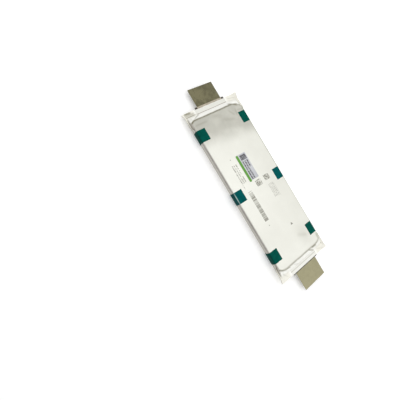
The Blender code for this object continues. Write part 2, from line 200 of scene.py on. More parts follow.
class CellSettings(bpy.types.PropertyGroup):
    """Everything that a user can set."""

    pouch: PointerProperty(type=PouchSettings)
    leads: PointerProperty(type=LeadSettings)
    tapes: PointerProperty(type=TapeSettings)
    label: PointerProperty(type=LabelSettings)
    stage: PointerProperty(type=StageSettings)


# Each soft light's name, place, side length and power in watts.
LIGHTS = (
    ("key_light", (0.15, 0.65, 0.85), 1.7, 6.0),
    ("end_light", (0.80, 0.10, 0.55), 0.9, 1.6),
    ("fill_light", (-0.60, -0.15, 0.75), 0.9, 2.6),
)
CAMERA_PLACE = (-0.02497, -0.24904, 0.3682)
CAMERA_ANGLES = (12.396, -21.613, 56.412)  # degrees about X, Y and Z
CAMERA_SHIFT = -0.03


# ------------------------------------------------------------------ shape functions

# How far the corners of the end seals are bent up: the near and the far corner at the negative end,
# then at the positive end.
SEAL_BENDS = ((-0.0013, 0.0036), (-0.0007, 0.0020))

# Single folds pressed into the end slopes and seals: where each starts and ends, its half width, its
# depth, and how strongly it is shaded, all lengths in millimetres.
FOLDS = (
    (-148.6, -50.0, -147.2, -38.0, 2.1, 0.60, 0.85),
    (-142.4, -52.0, -142.8, -31.0, 0.9, 0.40, 0.75),
    (-145.4, -52.5, -145.0, -33.0, 2.2, 0.10, 0.50),
    (-138.5, -53.0, -136.5, -43.0, 1.8, 0.10, 0.22),
    (-135.5, -40.5, -140.5, -27.0, 0.8, 0.45, 0.55),
    (-135.8, 27.0, -130.5, 41.0, 1.9, 0.45, 0.90),
    (-137.0, 51.0, -134.5, 53.0, 0.8, 0.25, 0.70),
    (-146.3, 34.0, -142.8, 54.0, 0.6, 0.30, 0.30),
    (134.2, 24.5, 135.0, 37.0, 2.0, 0.50, 0.90),
    (133.2, 15.5, 141.0, 28.5, 0.9, 0.50, 0.90),
    (133.0, -39.0, 135.4, -28.0, 1.4, 0.40, 0.75),
    (139.8, 48.6, 141.5, 50.2, 0.9, 0.25, 0.60),
    (136.0, -21.0, 141.0, -11.0, 0.6, 0.25, 0.30),
    (137.0, -46.0, 146.5, -38.0, 1.0, 0.35, 0.18),
    (143.0, 36.0, 148.5, 47.0, 1.0, 0.35, 0.18),
)

# The same for the folds in the faces.
FACE_FOLDS = (
    (-124.6, -46.5, -123.9, -25.0, 1.7, 0.10, 0.26),
    (-128.0, -13.0, -122.5, 5.0, 4.0, 0.06, 0.20),
    (-126.0, 20.0, -115.6, 26.5, 1.6, 0.12, 0.24),
    (-125.5, 34.0, -112.8, 31.0, 1.4, 0.12, 0.26),
    (-121.5, 36.0, -120.5, 49.0, 1.5, 0.10, 0.22),
    (-116.0, 2.0, -109.0, 24.0, 2.6, 0.08, 0.16),
    (102.0, 12.0, 112.0, 30.0, 3.0, 0.07, 0.14),
)


def smoothstep(low, high, value):
    """0 below low, 1 above high, and 3t^2 - 2t^3 between, where t is the share of the way."""
    t = np.clip((value - low) / (high - low), 0.0, 1.0)
    return t * t * (3.0 - 2.0 * t)


def soft_waves(x, y, seed, shortest, longest, count=14):
    """A smooth random field of about -1 to 1: the mean of sine waves of random direction, wavelength
    and phase, scaled by the square root of their number. The same seed always gives the same field."""
    rng = np.random.default_rng(seed)
    total = np.zeros(np.broadcast(x, y).shape)
    for _ in range(count):
        angle, phase = rng.uniform(0.0, 2.0 * math.pi, 2)
        wave_number = 2.0 * math.pi / rng.uniform(shortest, longest)
        total += np.sin(wave_number * (x * math.cos(angle) + y * math.sin(angle)) + phase)
    return total * math.sqrt(2.0 / count) * 0.5


def foil_creases(x, y, seed, shortest, longest, count=7):
    """A random field with sharp valleys, as in crumpled foil: the mean of 1 - |sin| folds, each bent
    a little by a smooth field, less its average."""
    rng = np.random.default_rng(seed)
    bend = soft_waves(x, y, seed + 1, longest * 1.5, longest * 4.0)
    total = np.zeros(np.broadcast(x, y).shape)
    for _ in range(count):
        angle, phase = rng.uniform(0.0, 2.0 * math.pi, 2)
        wave_number = math.pi / rng.uniform(shortest, longest)
        along = wave_number * (x * math.cos(angle) + y * math.sin(angle)) + phase + 1.2 * bend
        total += 1.0 - np.abs(np.sin(along)) - 0.363
    return total / count * 2.2


def radiating_folds(x, y, seed, shoulder, half_width):
    """Folds that fan out from each corner of the cup: in polar coordinates about the corner, a sine of
    the angle with a random phase, rising and fading with the radius."""
    rng = np.random.default_rng(seed)
    total = np.zeros(np.broadcast(x, y).shape)
    for side_x in (-1, 1):
        for side_y in (-1, 1):
            across = side_x * x - (shoulder - 2.0 * MM)
            along = side_y * y - (half_width - 4.0 * MM)
            radius = np.hypot(across, along) + 1e-9
            angle = np.arctan2(along, across)
            folds = rng.uniform(5.0, 7.5)
            phase = rng.uniform(0.0, 2.0 * math.pi)
            near = smoothstep(1.5 * MM, 5.0 * MM, radius) * (1.0 - smoothstep(9.0 * MM, 19.0 * MM, radius))
            total += near * (np.abs(np.sin(folds * angle / 2.0 + phase)) * 2.0 - 1.0)
    return total


def pressed_folds(x, y, table):
    """Depth of a table's folds: for each, a bell across its line times a flat-topped bell along it."""
    total = np.zeros(np.broadcast(x, y).shape)
    for x0, y0, x1, y1, half_width, depth, _ in table:
        half_length = math.hypot(x1 - x0, y1 - y0) / 2.0 * MM
        ux, uy = (x1 - x0) * MM / (2.0 * half_length), (y1 - y0) * MM / (2.0 * half_length)
        dx, dy = x - (x0 + x1) * MM / 2.0, y - (y0 + y1) * MM / 2.0
        along = (dx * ux + dy * uy) / half_length
        across = (dy * ux - dx * uy) / (half_width * MM)
        total += depth * MM * np.exp(-(across**2) - along**6)
    return total


def face_dents(x, y, towards, settings):
    """Soft dents of a face: broad waves all over, and shallow ripples that grow towards the ends."""
    seed = 11 if towards > 0 else 23
    ends = smoothstep(settings.shoulder - 62.0 * MM, settings.shoulder - 7.0 * MM, np.abs(x))
    inside = 1.0 - smoothstep(0.75, 1.0, np.abs(y) / settings.half_width)
    broad = soft_waves(x, y, seed, 45 * MM, 110 * MM)
    ripples = soft_waves(x * 1.8, y * 0.8, seed + 5, 14 * MM, 34 * MM)
    dents = settings.dent * (0.35 * inside + 0.65) * (0.7 * broad + ends * 1.1 * ripples)
    return dents - pressed_folds(x, towards * y, FACE_FOLDS)


def face_crown(y, settings):
    """How far a face lies below its middle: the crown times the 1.6th power of the way to the edge."""
    start = 12.0 * MM
    end = settings.half_width - settings.corner_radius
    return settings.crown * np.clip((np.abs(y) - start) / (end - start), 0.0, 1.0) ** 1.6


def slope_share(along):
    """The share of the cup's height left on the end slope: a steep shoulder, a groove, then a bulge
    over the gathered foils that falls to the seal."""
    shoulder = 1.0 - smoothstep(0.0, 0.16, along)
    bulge = 1.0 - np.clip(along, 0.0, 1.0) ** 1.7
    groove = np.exp(-(((along - 0.15) / 0.055) ** 2))
    return 0.30 * shoulder + 0.70 * bulge - 0.045 * groove


def across_of(node):
    """The middle and half of the width of a CAD piece, measured across the cell."""
    low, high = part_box(node)
    return (low.y + high.y) / 2.0, (high.y - low.y) / 2.0


def film_cover(x, y, settings):
    """1 where the laminate lies over the lead's sealing film, 0 beside it, with a narrow ramp."""
    centre, half = across_of("positive_tab_film_front")
    beside = smoothstep(half, half + 1.1 * MM, np.abs(y - centre))
    return (1.0 - beside) * smoothstep(settings.shoulder, settings.crease - 1.0 * MM, np.abs(x))


def seal_wave(x, y, settings, edge_x):
    """Waves of both shells together in the end seals, the bend of their four corners, and the folds
    pressed into them."""
    ends = smoothstep(settings.crease - 2.0 * MM, edge_x, np.abs(x))
    film = across_of("positive_tab_film_front")[1]
    outside = smoothstep(film + 2.1 * MM, film + 15.1 * MM, np.abs(y))
    wave = 0.45 * MM * soft_waves(x, y, 71, 12 * MM, 34 * MM) * (0.15 + 0.85 * outside)
    corner = smoothstep(settings.half_width - 9.5 * MM, settings.half_width + 4.0 * MM, np.abs(y))
    at_negative, at_positive = (np.where(y < 0, near, far) for near, far in SEAL_BENDS)
    bend = np.where(x < 0, at_negative, at_positive)
    in_seal = smoothstep(settings.crease, settings.crease + 1.2 * MM, np.abs(x))
    return ends * (wave + corner * bend) - 0.6 * in_seal * pressed_folds(x, y, FOLDS)


def plan_rounding(x, y, settings):
    """How far a cross-section is drawn towards the middle near the long edges, which rounds the cup's
    corners: the radius times the 2.4th power of the way into the corner, strongest at the shoulder."""
    negative = np.where(y < 0, settings.near_negative, settings.far_negative)
    positive = np.where(y < 0, settings.near_positive, settings.far_positive)
    radius = np.where(x < 0, negative, positive)
    into = np.clip((np.abs(y) - (settings.half_width - 2.2 * radius)) / (2.2 * radius), 0.0, 1.0)
    rising = smoothstep(settings.shoulder - 16.0 * MM, settings.shoulder, np.abs(x))
    fading = 1.0 - smoothstep(settings.shoulder, settings.crease, np.abs(x))
    return radius * into**2.4 * rising * fading


def pouch_stations(settings, edge_x):
    """X of the cross-sections: sparse along the flat middle, dense at the shoulders and seals."""
    shoulder = settings.shoulder
    knots = (0.0, shoulder - 16 * MM, shoulder - 1.5 * MM, shoulder + 2.5 * MM, settings.crease, edge_x)
    counts = (54, 22, 22, 26, 18)
    half = [np.linspace(a, b, n, endpoint=False) for a, b, n in zip(knots, knots[1:], counts)]
    half = np.concatenate(half + [np.array([edge_x])])
    return np.concatenate([-half[:0:-1], half])


def shell_level(x, y, along, towards, settings):
    """Height of a shell's inner surface above the middle plane: the face's level scaled by the share
    left on the slope, plus wrinkles and fans of folds on the slope, less the single folds."""
    share = slope_share(along)
    seed = 31 if towards > 0 else 47
    base = settings.seal_gap + settings.film_rise * film_cover(x, y, settings)
    full = flat_level(settings) - face_crown(y, settings) + face_dents(x, y, towards, settings) * share
    wrinkle = foil_creases(x, y, seed, 5.0 * MM, 13.0 * MM)
    wrinkle = wrinkle * np.clip(4.0 * along * (1.0 - along), 0.0, 1.0)
    fan = radiating_folds(x, y, seed + 9, settings.shoulder, settings.half_width)
    fan = fan * smoothstep(0.0, 0.25, along) * (1.0 - 0.6 * smoothstep(0.8, 1.0, along))
    folds = pressed_folds(x, towards * y, FOLDS) * np.clip(6.0 * along * (1.0 - along), 0.0, 1.0)
    return base + (full - base) * share + settings.crumple * (wrinkle + 0.8 * fan) - folds


def drawn_columns(station, y, sink, towards, settings):
    """X, y and height of columns on the face and the long edge: each lies below the shell's level by
    its sink, scaled by the slope's share, and is drawn in where the cup's corners are round."""
    y = np.broadcast_to(y, (len(station), y.shape[-1]))
    x = station - np.sign(station) * plan_rounding(station, y, settings)
    along = (np.abs(station) - settings.shoulder) / (settings.crease - settings.shoulder)
    along = np.broadcast_to(np.clip(along, 0.0, 1.0), y.shape)
    share = np.clip(slope_share(along), 0.0, 1.0)
    level = shell_level(x, y, along, towards, settings)
    return x, y, np.maximum(level - sink * share, settings.seal_gap)


def wing_fold(station, settings, edge_x):
    """The angle to which a side wing is folded up, and how far it has opened, from 0 to 1: it stands
    upright at the tapes, leans out a little between them, and opens in two steps past them."""
    distance = np.abs(station)
    opening = 0.7 * smoothstep(tapes_end() + 1.5 * MM, tapes_end() + 11.0 * MM, distance)
    opening = opening + 0.3 * smoothstep(settings.crease, edge_x - 2.0 * MM, distance)
    held = np.max([np.exp(-(((station - x) / (17.0 * MM)) ** 8)) for x in tape_centres()], axis=0)
    lean_wave = 0.5 + 0.5 * soft_waves(station, 0.0, 83, 30 * MM, 80 * MM)
    lean = math.radians(5.0) * (1.0 - held) * lean_wave
    return (QUARTER_TURN - lean) * (1.0 - opening), opening


def side_columns(station, side, towards, settings, edge_x):
    """One side's columns from the wing's tip to the face: side is 1 at +Y and -1 at -Y. The wing is a
    straight line at its fold angle, the wall another, and the long edge a quarter circle."""
    wall_y = settings.half_width - settings.laminate
    wing_y = settings.half_width + settings.wing_gap + settings.laminate
    if towards < 0:
        wing_y += 2.0 * settings.seal_gap
    fold, opening = wing_fold(station, settings, edge_x)
    width = settings.wing * (1.0 + 0.05 * soft_waves(station, 0.0, 85, 15 * MM, 60 * MM))
    columns = []
    for t in np.linspace(1.0, 0.0, 8):
        z = towards * settings.seal_gap + width * t * np.sin(fold)
        columns.append((station, wing_y + width * t * np.cos(fold), z))
    spread = 0.3 * (wing_y - wall_y) * opening
    columns.append((station, wall_y + spread, np.full_like(station, towards * settings.seal_gap)))
    arc = np.linspace(0.0, QUARTER_TURN, 9)
    arc_y = wall_y - settings.corner_radius * (1.0 - np.cos(arc))
    sink = settings.corner_radius * (1.0 - np.sin(arc))
    x_arc, y_arc, z_arc = drawn_columns(station, side * arc_y[None, :], sink[None, :], towards, settings)
    for t in np.linspace(0.0, 1.0, 8)[1:-1]:
        x = station + (x_arc[:, :1] - station) * t
        z = settings.seal_gap + (z_arc[:, :1] - settings.seal_gap) * t
        columns.append((x, wall_y + spread * (1.0 - t), towards * z))
    for j in range(len(arc)):
        column = np.s_[:, j : j + 1]
        columns.append((x_arc[column], np.abs(y_arc[column]), towards * z_arc[column]))
    placed = [np.concatenate(np.broadcast_arrays(*column), axis=1) for column in columns]
    return np.stack(placed, axis=1) * np.array([1.0, side, 1.0])


def shell_points(settings, towards):
    """The inner surface of one shell as a grid of points: rows along X, columns along +Y, and each
    point's place along the cell and across it before the corners were drawn round.

    A row runs from a side wing's tip to its root, over the foot of the wall, up the wall, round the
    long edge and across the face, and back in mirror image on the other side.
    """
    edge_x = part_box("pouch_rear_shell" if towards < 0 else "pouch_front_shell")[1].x
    station = pouch_stations(settings, edge_x)[:, None]
    face_edge = settings.half_width - settings.laminate - settings.corner_radius
    face_y = np.linspace(-face_edge, face_edge, 92)[None, 1:-1]
    x, y, z = drawn_columns(station, face_y, np.zeros_like(face_y), towards, settings)
    face = np.stack([x, y, towards * z], axis=2)
    near, far = [side_columns(station, side, towards, settings, edge_x) for side in (-1.0, 1.0)]
    points = np.concatenate([near, face, far[:, ::-1]], axis=1)
    over_lead = film_cover(points[..., 0], points[..., 1], settings) * (station < 0)
    ragged = 1.0 + 0.3 * soft_waves(points[..., 1], 0.0, 91, 5 * MM, 16 * MM)
    at_edge = smoothstep(settings.crease + 3.0 * MM, edge_x, np.abs(station))
    points[..., 0] += settings.draw_in * over_lead * ragged * at_edge
    points[..., 2] += seal_wave(points[..., 0], points[..., 1], settings, edge_x) + middle_height()
    flow = np.stack([station + 0.0 * points[..., 0], points[..., 1]], axis=2)
    return points, flow


def middle_height():
    """Height of the plane in which the two shells meet."""
    return (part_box("pouch_rear_shell")[0].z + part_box("pouch_front_shell")[1].z) / 2.0


def flat_level(settings):
    """Height of a flat face's inner surface above the middle plane."""
    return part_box("pouch_front_shell")[1].z - middle_height() - settings.laminate


def face_level(x, y, towards, settings):
    """Height of a face's inner surface above the middle plane, without the end slopes: the flat
    level less the crown, plus the dents."""
    return flat_level(settings) - face_crown(y, settings) + face_dents(x, y, towards, settings)


TAPE_PLACES = ("negative_end", "middle", "positive_end")


def tapes_end():
    """Distance from the middle at which the tapes end and the side wings begin to open."""
    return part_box("side_tape_near_positive_end")[1].x


def tape_centres():
    """X of the middle of each side tape."""
    boxes = [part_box("side_tape_near_" + place) for place in TAPE_PLACES]
    return [(low.x + high.x) / 2.0 for low, high in boxes]


def tape_points(node, settings, pouch):
    """One side tape's inner surface as a grid, and whether it is on the far side: rows along X, each
    running over the front face to the side, round the long edge as a quarter circle, down over the
    folded wings, and back along the rear face."""
    low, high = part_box(node)
    far = high.y > 0
    side = 1.0 if far else -1.0
    reach_y = low.y if far else -high.y
    middle = middle_height()
    stand_off = pouch.laminate + settings.lift
    corner_y = pouch.half_width - pouch.laminate - pouch.corner_radius
    radius = pouch.corner_radius + stand_off
    wing_y = pouch.half_width + pouch.wing_gap + 2.0 * (pouch.laminate + pouch.seal_gap + settings.lift)
    seed = 200 + 10 * TAPE_PLACES.index(node.split("_", 3)[3]) + (5 if far else 0)
    share = np.linspace(0.0, 1.0, settings.rows)[:, None]
    x = low.x + (high.x - low.x) * share
    profiles = []
    for towards in (1, -1):
        reach = reach_y + settings.ragged * soft_waves(x, 3.0 * towards, seed + towards, 2 * MM, 7 * MM)
        along = np.linspace(0.0, 1.0, 16)[None, :]
        y = reach + (corner_y - reach) * along
        level = face_level(x, side * y, towards, pouch) + stand_off
        edge_level = face_level(x, side * corner_y, towards, pouch)
        turn = np.linspace(0.0, 1.0, 9)[None, 1:] * QUARTER_TURN
        arc_y = corner_y + radius * np.sin(turn) + 0.0 * x
        arc_z = edge_level - pouch.corner_radius + radius * np.cos(turn)
        z = towards * np.concatenate([level, arc_z], axis=1)
        profiles.append((np.concatenate([y, arc_y], axis=1), z))
    (front_y, front_z), (rear_y, rear_z) = profiles
    top, bottom = front_z[:, -1:], rear_z[:, -1:]
    z = top + (bottom - top) * np.linspace(0.0, 1.0, 26)[None, 1:-1]
    wall_y = corner_y + radius
    over = smoothstep(pouch.wing + 1.7 * MM, pouch.wing + 0.1 * MM, z)
    over = over * smoothstep(-4.8 * MM, -0.2 * MM, z)
    slack = 0.06 * MM * soft_waves(x, z, seed + 7, 3 * MM, 9 * MM)
    y = wall_y + (wing_y - wall_y + slack) * over
    y_all = np.concatenate([front_y, y, rear_y[:, ::-1]], axis=1)
    z_all = np.concatenate([front_z, z, rear_z[:, ::-1]], axis=1)
    end_wander = settings.ragged * soft_waves(y_all + z_all, z_all - y_all, seed + 3, 3 * MM, 12 * MM)
    x_all = x + end_wander * (2.0 * share - 1.0) ** 8
    return np.stack([x_all + 0.0 * y_all, side * y_all, z_all + middle], axis=2), far


def sticker_points(low, high, corner, lift, pouch):
    """A sticker that follows the front face: a grid whose width falls near its ends as a circle of the
    corner's radius."""
    half_length, half_width = (high[0] - low[0]) / 2.0, (high[1] - low[1]) / 2.0
    turn = np.linspace(0.0, QUARTER_TURN, 7)
    rounded = half_length - corner + corner * np.sin(turn)
    straight = np.linspace(0.0, half_length - corner, 30)[:-1]
    half = np.concatenate([straight, rounded])
    offset = np.concatenate([-half[:0:-1], half])[:, None]
    past = np.clip(np.abs(offset) - (half_length - corner), 0.0, corner)
    extent = half_width - corner + np.sqrt(corner**2 - past**2)
    across = np.linspace(-1.0, 1.0, 25)[None, :]
    x = (low[0] + high[0]) / 2.0 + offset + 0.0 * across
    y = (low[1] + high[1]) / 2.0 + extent * across
    z = middle_height() + face_level(x, y, 1, pouch) + pouch.laminate + lift
    return np.stack([x, y, z], axis=2)


def lead_points(root, blade, settings):
    """The middle surface of one lead as a grid of rows along X, from its welded inner end to its tip,
    with its thickness and the X of its bend line: flat in the seal and, past the bend line, a soft sum
    of waves that fades in. Its tip's corners are quarter circles."""
    root_low, root_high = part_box(root)
    blade_low, blade_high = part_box(blade)
    side = 1.0 if blade_high.x > 0 else -1.0
    inner = root_low.x if side > 0 else -root_high.x
    tip = blade_high.x if side > 0 else -blade_low.x
    bend = (root_high.x + blade_low.x) / 2.0 if side > 0 else -(root_low.x + blade_high.x) / 2.0
    knots = (inner, bend - 2.0 * MM, bend + 2.0 * MM, tip - settings.corner)
    rows = [np.linspace(a, b, n, endpoint=False) for a, b, n in zip(knots, knots[1:], (10, 16, 40))]
    rows.append(tip - settings.corner + settings.corner * np.sin(np.linspace(0.0, QUARTER_TURN, 7)))
    distance = np.concatenate(rows)[:, None]
    centre_y, half_width = across_of(root)
    past = np.clip(distance - (tip - settings.corner), 0.0, settings.corner)
    extent = half_width - settings.corner + np.sqrt(settings.corner**2 - past**2)
    y = centre_y + extent * np.linspace(-1.0, 1.0, 61)[None, :]
    x = side * distance + 0.0 * y
    free = smoothstep(bend + 1.0 * MM, bend + 9.0 * MM, distance)
    waves = soft_waves(x, y, 61 + int(side), 15 * MM, 40 * MM)
    z = (root_low.z + root_high.z) / 2.0 + free * settings.ripple * waves
    return np.stack([x, y, z], axis=2), root_high.z - root_low.z, side * bend


def film_points(node, towards):
    """One sealing film's inner surface, and whether its quads already face outwards: it is flat on its
    lead, and beside the lead it falls to its twin, where a bell-shaped nub thickens it and makes it
    stick out a little."""
    low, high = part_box(node)
    side = 1.0 if high.x > 0 else -1.0
    lead = "positive_tab_root" if side > 0 else "negative_tab_root"
    lead_low, lead_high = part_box(lead)
    centre, half_lead = across_of(lead)
    y = np.linspace(low.y, high.y, 91)[None, :]
    beside = smoothstep(half_lead - 0.1 * MM, half_lead + 1.2 * MM, np.abs(y - centre))
    nub = np.exp(-(((np.abs(y - centre) - half_lead - 2.6 * MM) / (1.6 * MM)) ** 2))
    share = np.linspace(0.0, 1.0, 22)[:, None]
    inner, outer = sorted((abs(low.x), abs(high.x)))
    wander = 0.1 * MM * soft_waves(y, 0.0, 300 + int(side), 2 * MM, 9 * MM) + 0.35 * MM * nub
    distance = inner + (outer - inner + wander - 0.1 * MM) * share
    lead_top = (lead_high.z - lead_low.z) / 2.0 + 0.04 * MM
    level = lead_top * (1.0 - beside) + (0.03 * MM + 0.12 * MM * nub) * beside
    z = middle_height() + towards * (level + 0.0 * share)
    y = y + 0.0 * share
    x = side * distance
    return np.stack([x, y, z], axis=2), side * towards > 0


# ------------------------------------------------------------------ making objects


def grid_faces(rows, columns, flipped):
    """The quads of a grid of points, as an array of vertex numbers, turned over where asked."""
    first = np.arange(rows - 1)[:, None] * columns + np.arange(columns - 1)[None, :]
    corners = (first, first + columns, first + columns + 1, first + 1)
    faces = np.stack([corner.ravel() for corner in corners], axis=1)
    return faces[:, ::-1] if flipped else faces


def sheet_object(name, grid, thickness, outwards=1.0, flipped=False, flow=None):
    """A closed sheet: the given grid of points, thickened along its normals (outwards 1), or to both
    sides (outwards 0). Where flow is given, each point's pair goes into a UV map of that name."""
    mesh = bpy.data.meshes.new(name)
    faces = grid_faces(grid.shape[0], grid.shape[1], flipped)
    mesh.from_pydata(grid.reshape(-1, 3).tolist(), [], faces.tolist())
    obj = bpy.data.objects.new(name, mesh)
    bpy.context.scene.collection.objects.link(obj)
    if flow is not None:
        corner_points = np.empty(len(mesh.loops), dtype=np.int64)
        mesh.loops.foreach_get("vertex_index", corner_points)
        layer = mesh.uv_layers.new(name="flow")
        layer.uv.foreach_set("vector", flow.reshape(-1, 2)[corner_points].astype(np.float32).ravel())
    solidify = obj.modifiers.new("Thickness", "SOLIDIFY")
    solidify.thickness = thickness
    solidify.offset = outwards
    finished = bpy.data.meshes.new_from_object(obj.evaluated_get(bpy.context.evaluated_depsgraph_get()))
    obj.modifiers.clear()
    obj.data = finished
    finished.name = name
    finished.shade_smooth()
    finished.set_sharp_from_angle(angle=math.radians(50.0))
    return obj


def finish_piece(obj, material, slot, body, *nodes):
    """Gives a piece its material and the body it rides on, and hides the nodes it stands for; its slot is
    not used.
    """
    obj.data.materials.clear()
    obj.data.materials.append(material)
    if body:
        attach(obj, body)
    if nodes:
        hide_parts(*nodes)


# ------------------------------------------------------------------ materials


class Finish:
    """A material, with a short method for each kind of shader node that the cell's finishes use."""

    def __init__(self, name, **sockets):
        self.material = bpy.data.materials.new(name)
        self.material.use_nodes = True
        self.tree = self.material.node_tree
        self.shader = self.tree.nodes["Principled BSDF"]
        for socket, value in sockets.items():
            self.shader.inputs[socket.replace("_", " ")].default_value = value
        self.place = self.node("ShaderNodeTexCoord").outputs["Object"]
        split = self.node("ShaderNodeSeparateXYZ")
        self.feed(split.inputs[0], self.place)
        self.x, self.y, self.z = split.outputs

    def node(self, kind, **settings):
        """A new node with its settings."""
        node = self.tree.nodes.new(kind)
        for key, value in settings.items():
            setattr(node, key, value)
        return node

    def feed(self, socket, value):
        """Links a socket to an output, or sets its value."""
        if isinstance(value, bpy.types.NodeSocket):
            self.tree.links.new(value, socket)
        else:
            socket.default_value = value

    def math(self, operation, *values):
        """One Math node."""
        node = self.node("ShaderNodeMath", operation=operation)
        for socket, value in zip(node.inputs, values):
            self.feed(socket, value)
        return node.outputs[0]

    def total(self, first, *others):
        """The sum of several values."""
        for other in others:
            first = self.math("ADD", first, other)
        return first

    def times(self, first, *others):
        """The product of several values."""
        for other in others:
            first = self.math("MULTIPLY", first, other)
        return first

    def largest(self, first, *others):
        """The largest of several values."""
        for other in others:
            first = self.math("MAXIMUM", first, other)
        return first

    def less(self, value, taken):
        """A value less another."""
        return self.math("SUBTRACT", value, taken)

    def off(self, value, centre=0.0):
        """The distance of a value from a centre."""
        return self.math("ABSOLUTE", self.less(value, centre) if centre else value)

    def ramp(self, value, low, high, first=0.0, last=1.0):
        """A smooth step of a value from first to last."""
        node = self.node("ShaderNodeMapRange", interpolation_type="SMOOTHSTEP")
        for socket, number in zip(node.inputs, (value, low, high, first, last)):
            self.feed(socket, number)
        return node.outputs[0]

    def noise(self, size, detail=3.0, roughness=0.5, distortion=0.0, stretch=(1.0, 1.0, 1.0)):
        """Noise with features of about the given size, stretched along each axis, from 0 to 1."""
        scaled = self.node("ShaderNodeMapping", vector_type="TEXTURE")
        self.feed(scaled.inputs["Vector"], self.place)
        self.feed(scaled.inputs["Scale"], tuple(size * s for s in stretch))
        node = self.node("ShaderNodeTexNoise")
        self.feed(node.inputs["Vector"], scaled.outputs[0])
        self.feed(node.inputs["Scale"], 1.0)
        self.feed(node.inputs["Detail"], detail)
        self.feed(node.inputs["Roughness"], roughness)
        self.feed(node.inputs["Distortion"], distortion)
        return node.outputs[0]

    def cells(self, width, height, share):
        """1 in a random share of the cells of a grid in the XY plane, sized in millimetres, and 0 in
        the others."""
        snap = self.node("ShaderNodeVectorMath", operation="SNAP")
        self.feed(snap.inputs[0], self.place)
        self.feed(snap.inputs[1], (width * MM, height * MM, 1.0))
        chance = self.node("ShaderNodeTexWhiteNoise")
        self.feed(chance.inputs["Vector"], snap.outputs[0])
        return self.math("LESS_THAN", chance.outputs[0], share)

    def patch(self, x0, x1, y0, y1):
        """1 inside a rectangle in the XY plane, given in millimetres."""
        in_x = self.math("COMPARE", self.x, (x0 + x1) / 2.0 * MM, (x1 - x0) / 2.0 * MM)
        in_y = self.math("COMPARE", self.y, (y0 + y1) / 2.0 * MM, (y1 - y0) / 2.0 * MM)
        return self.times(in_x, in_y)

    def bell(self, value, centre, width):
        """A bell curve of a value: e to the minus square of its distance from the centre in widths."""
        widths = self.math("DIVIDE", self.less(value, centre), width)
        return self.math("EXPONENT", self.times(widths, widths, -1.0))

    def fold_shade(self, along, across, fold):
        """How strongly a fold is shaded at each spot: the same bells as the fold's depth."""
        x0, y0, x1, y1, half_width, _, strength = fold
        half_length = math.hypot(x1 - x0, y1 - y0) / 2.0
        ux, uy = (x1 - x0) / 2.0 / half_length, (y1 - y0) / 2.0 / half_length
        middle_along = ((x0 + x1) / 2.0 * ux + (y0 + y1) / 2.0 * uy) * MM
        middle_across = ((y0 + y1) / 2.0 * ux - (x0 + x1) / 2.0 * uy) * MM
        run = self.total(self.times(along, ux), self.times(across, uy))
        aside = self.less(self.times(across, ux), self.times(along, uy))
        run_share = self.math("DIVIDE", self.less(run, middle_along), half_length * MM)
        sixth_power = self.math("POWER", self.off(run_share), 6.0)
        ends = self.math("EXPONENT", self.times(sixth_power, -1.0))
        return self.times(self.bell(aside, middle_across, half_width * MM), ends, strength)

    def mix(self, share, first, second):
        """One colour changing to another."""
        node = self.node("ShaderNodeMix", data_type="RGBA")
        self.feed(node.inputs["Factor"], share)
        for socket, value in ((node.inputs["A"], first), (node.inputs["B"], second)):
            sockets = [s for s in node.inputs if s.name == socket.name and s.type == "RGBA"]
            self.feed(sockets[0], value if isinstance(value, bpy.types.NodeSocket) else (*value[:3], 1.0))
        return [s for s in node.outputs if s.type == "RGBA"][0]

    def layered(self, base, layers):
        """A colour with other colours laid over it in turn, each by its share."""
        for share, tint in layers:
            base = self.mix(share, base, tint)
        return base

    def paint(self, colour_value, roughness=None):
        """Sets the base colour and the roughness."""
        self.feed(self.shader.inputs["Base Color"], colour_value)
        if roughness is not None:
            self.feed(self.shader.inputs["Roughness"], roughness)
        return self

    def emboss(self, height, depth, strength=1.0):
        """Bump of a height map whose 1 stands for a depth in metres."""
        node = self.node("ShaderNodeBump")
        self.feed(node.inputs["Height"], height)
        self.feed(node.inputs["Distance"], depth)
        self.feed(node.inputs["Strength"], strength)
        self.feed(self.shader.inputs["Normal"], node.outputs[0])
        return self


# Marks printed on the front face, in millimetres: each one's two ends along X, then along Y.
CODE_SQUARES = ((-7.3, 2.8, -5.8, 5.5), (-8.2, 1.3, 12.7, 23.5))
BAR_STRIP = (1.8, 55.0, -27.0, -19.5)
FAINT_LINE = (10.0, 34.0, 24.2, 25.2)
DOTS = ((-55.3, -53.7, -25.3, -23.7), (62.1, 63.7, -24.9, -23.3))
POINTER = (79.0, 83.2, 10.0, 17.0)

# Blocks of small print, in millimetres: the ends along X, the start in Y, the pitch and the number
# of the rows, the share of inked cells, a cell's length, and how dark the block is.
PRINT_BLOCKS = (
    (8.2, 32.0, 13.3, 2.7, 4, 0.62, 0.70, 0.56),
    (-45.0, -13.0, -28.6, 3.6, 3, 0.55, 0.95, 0.85),
    (-12.0, -2.6, -28.6, 1.8, 1, 0.45, 0.90, 0.70),
)

# The label's square code, its frame, and its rows of print up to the length of a cell.
LABEL_CODE = (-53.4, -45.2, -7.0, 4.1)
LABEL_FRAME = (-53.8, -44.8, -7.4, 4.5)
LABEL_ROWS = (
    (-43.2, -11.5, -7.4, 4.1, 2, 0.72, 0.75),
    (-43.2, -31.0, 0.8, 4.1, 1, 0.72, 0.75),
)


def text_rows(finish, x0, x1, y0, pitch, count, share, cell):
    """Rows of random dashes that stand for small print: no letter or word is drawn."""
    rows = [finish.patch(x0, x1, y0 + i * pitch, y0 + (i + 0.62) * pitch) for i in range(count)]
    return finish.times(finish.largest(*rows), finish.cells(cell, 0.9 * cell, share))


